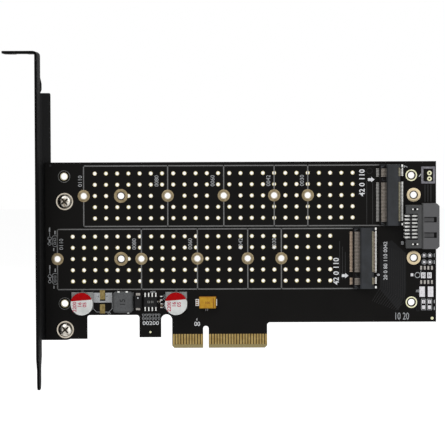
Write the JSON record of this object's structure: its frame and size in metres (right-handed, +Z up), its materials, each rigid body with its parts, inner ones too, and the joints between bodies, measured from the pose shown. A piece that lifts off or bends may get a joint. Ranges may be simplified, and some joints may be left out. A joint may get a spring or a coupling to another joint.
{
  "type": "nvme adapter card",
  "caption": "Black plug-in adapter card with a folded slot bracket, two angled sockets for solid-state drive modules, a drive cable port and rows of cooling holes.",
  "frame": {"origin": "middle of the key notch, on the bottom edge of the card's contacts, on the face that carries the parts", "axes": "+X along the card away from the bracket, -Y out of the face that carries the parts, +Z up from the contact edge"},
  "size_m": [0.1542, 0.0202, 0.12],
  "materials": {
    "solder_mask": "satin black solder mask over the laminate",
    "gold_plating": "thin gold plating on copper",
    "black_sheet": "satin black coated sheet steel",
    "screw_steel": "bright nickel plated steel",
    "socket_plastic": "moulded black plastic",
    "tinned_metal": "bright tinned metal",
    "port_plastic": "moulded dark grey plastic",
    "capacitor_base": "moulded pale plastic",
    "can_aluminium": "drawn aluminium, part of its top printed",
    "coil_grey": "pressed grey powder core",
    "chip_black": "moulded black epoxy",
    "tantalum_yellow": "moulded yellow epoxy"
  },
  "bodies": {
    "root": {"circuit_board": "solder_mask", "standoff_rings": "gold_plating", "large_hole_rings": "gold_plating", "corner_hole_rings": "gold_plating", "header_rings": "gold_plating", "edge_contacts_front": "gold_plating", "edge_contacts_back": "gold_plating", "bracket": "black_sheet", "bracket_screws": "screw_steel", "upper_socket_housing": "socket_plastic", "upper_socket_contacts": "tinned_metal", "upper_socket_hold_downs": "tinned_metal", "lower_socket_housing": "socket_plastic", "lower_socket_contacts": "tinned_metal", "lower_socket_hold_downs": "tinned_metal", "drive_port_housing": "port_plastic", "drive_port_contacts": "tinned_metal", "drive_port_hold_downs": "tinned_metal", "left_capacitor_base": "capacitor_base", "left_capacitor_can": "can_aluminium", "left_capacitor_terminals": "tinned_metal", "right_capacitor_base": "capacitor_base", "right_capacitor_can": "can_aluminium", "right_capacitor_terminals": "tinned_metal", "coil_core": "coil_grey", "coil_terminals": "tinned_metal", "diode_body": "chip_black", "diode_terminals": "tinned_metal", "regulator_body": "chip_black", "regulator_leads": "tinned_metal", "tantalum_body": "tantalum_yellow", "tantalum_terminals": "tinned_metal", "resistor_body": "chip_black", "resistor_ends": "tinned_metal", "empty_capacitor_pads": "gold_plating", "empty_chip_pads": "gold_plating", "empty_coil_pads": "gold_plating"}
  },
  "joints": []
}
